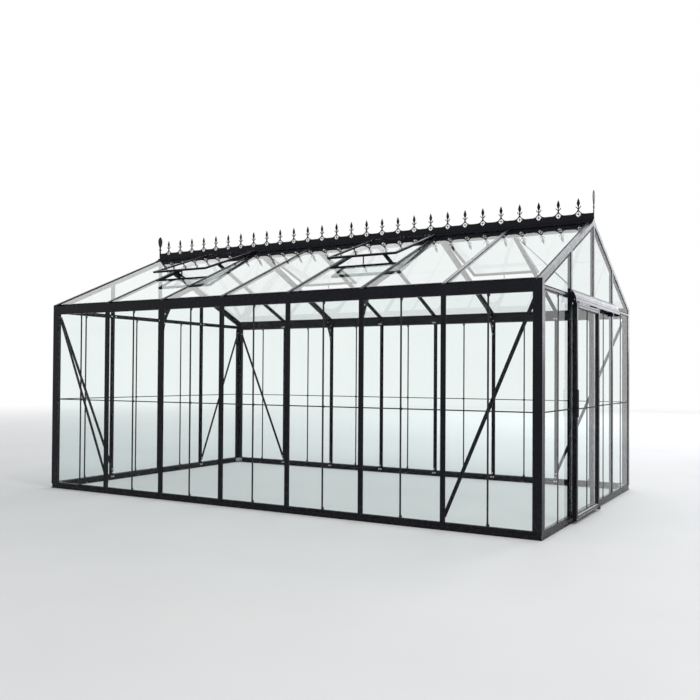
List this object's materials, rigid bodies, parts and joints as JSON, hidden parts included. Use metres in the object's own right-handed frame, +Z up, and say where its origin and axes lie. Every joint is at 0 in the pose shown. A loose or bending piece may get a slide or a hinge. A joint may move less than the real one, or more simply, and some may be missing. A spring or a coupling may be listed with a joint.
{
  "type": "glass greenhouse",
  "caption": "Gable-roofed glass greenhouse on a slender metal frame, with gutters, propped roof vents, a sliding door and a decorated ridge",
  "frame": {"origin": "middle of the footprint, at the level of the ground", "axes": "X along the ridge towards the door gable, Y across the ridge towards the back wall, Z up"},
  "size_m": [5.198, 2.98, 2.799],
  "materials": {
    "frame_metal": "satin",
    "clear_glass": "polished",
    "glazing_trim": "matte",
    "black_plastic": "matte"
  },
  "bodies": {
    "building": {"base_rails_long": "frame_metal", "base_rails_gable": "frame_metal", "corner_posts": "frame_metal", "front_wall_posts": "frame_metal", "back_wall_posts": "frame_metal", "left_gable_posts": "frame_metal", "right_gable_posts": "frame_metal", "gutter_front": "frame_metal", "gutter_back": "frame_metal", "gutter_ends": "frame_metal", "gable_ties": "frame_metal", "verge_bars_front": "frame_metal", "verge_bars_back": "frame_metal", "roof_bars_front": "frame_metal", "roof_bars_back": "frame_metal", "ridge_beam": "frame_metal", "ridge_cap": "frame_metal", "ridge_cresting": "frame_metal", "gable_finials": "frame_metal", "roof_vent_rails": "frame_metal", "roof_vent_sashes": "frame_metal", "roof_vent_stays": "frame_metal", "gable_stay": "frame_metal", "knee_brackets": "frame_metal", "wall_braces": "frame_metal", "door_track": "frame_metal", "door_track_ends": "frame_metal", "door_guide": "frame_metal", "front_wall_glass": "clear_glass", "back_wall_glass": "clear_glass", "left_gable_glass": "clear_glass", "right_gable_glass": "clear_glass", "roof_glass_front": "clear_glass", "roof_glass_back": "clear_glass", "roof_vent_glass": "clear_glass", "front_wall_strips": "glazing_trim", "back_wall_strips": "glazing_trim", "gable_strips": "glazing_trim"},
    "sliding_door": {"door_stiles": "frame_metal", "door_rails": "frame_metal", "door_glass": "clear_glass", "door_strips": "glazing_trim", "door_rollers": "black_plastic", "door_hangers": "frame_metal", "door_handle": "black_plastic"}
  },
  "joints": [
    {"name": "door_slide", "type": "slide", "parent": "building", "child": "sliding_door", "axis": [0, 1, 0], "range_m": [0, 0.71]}
  ]
}
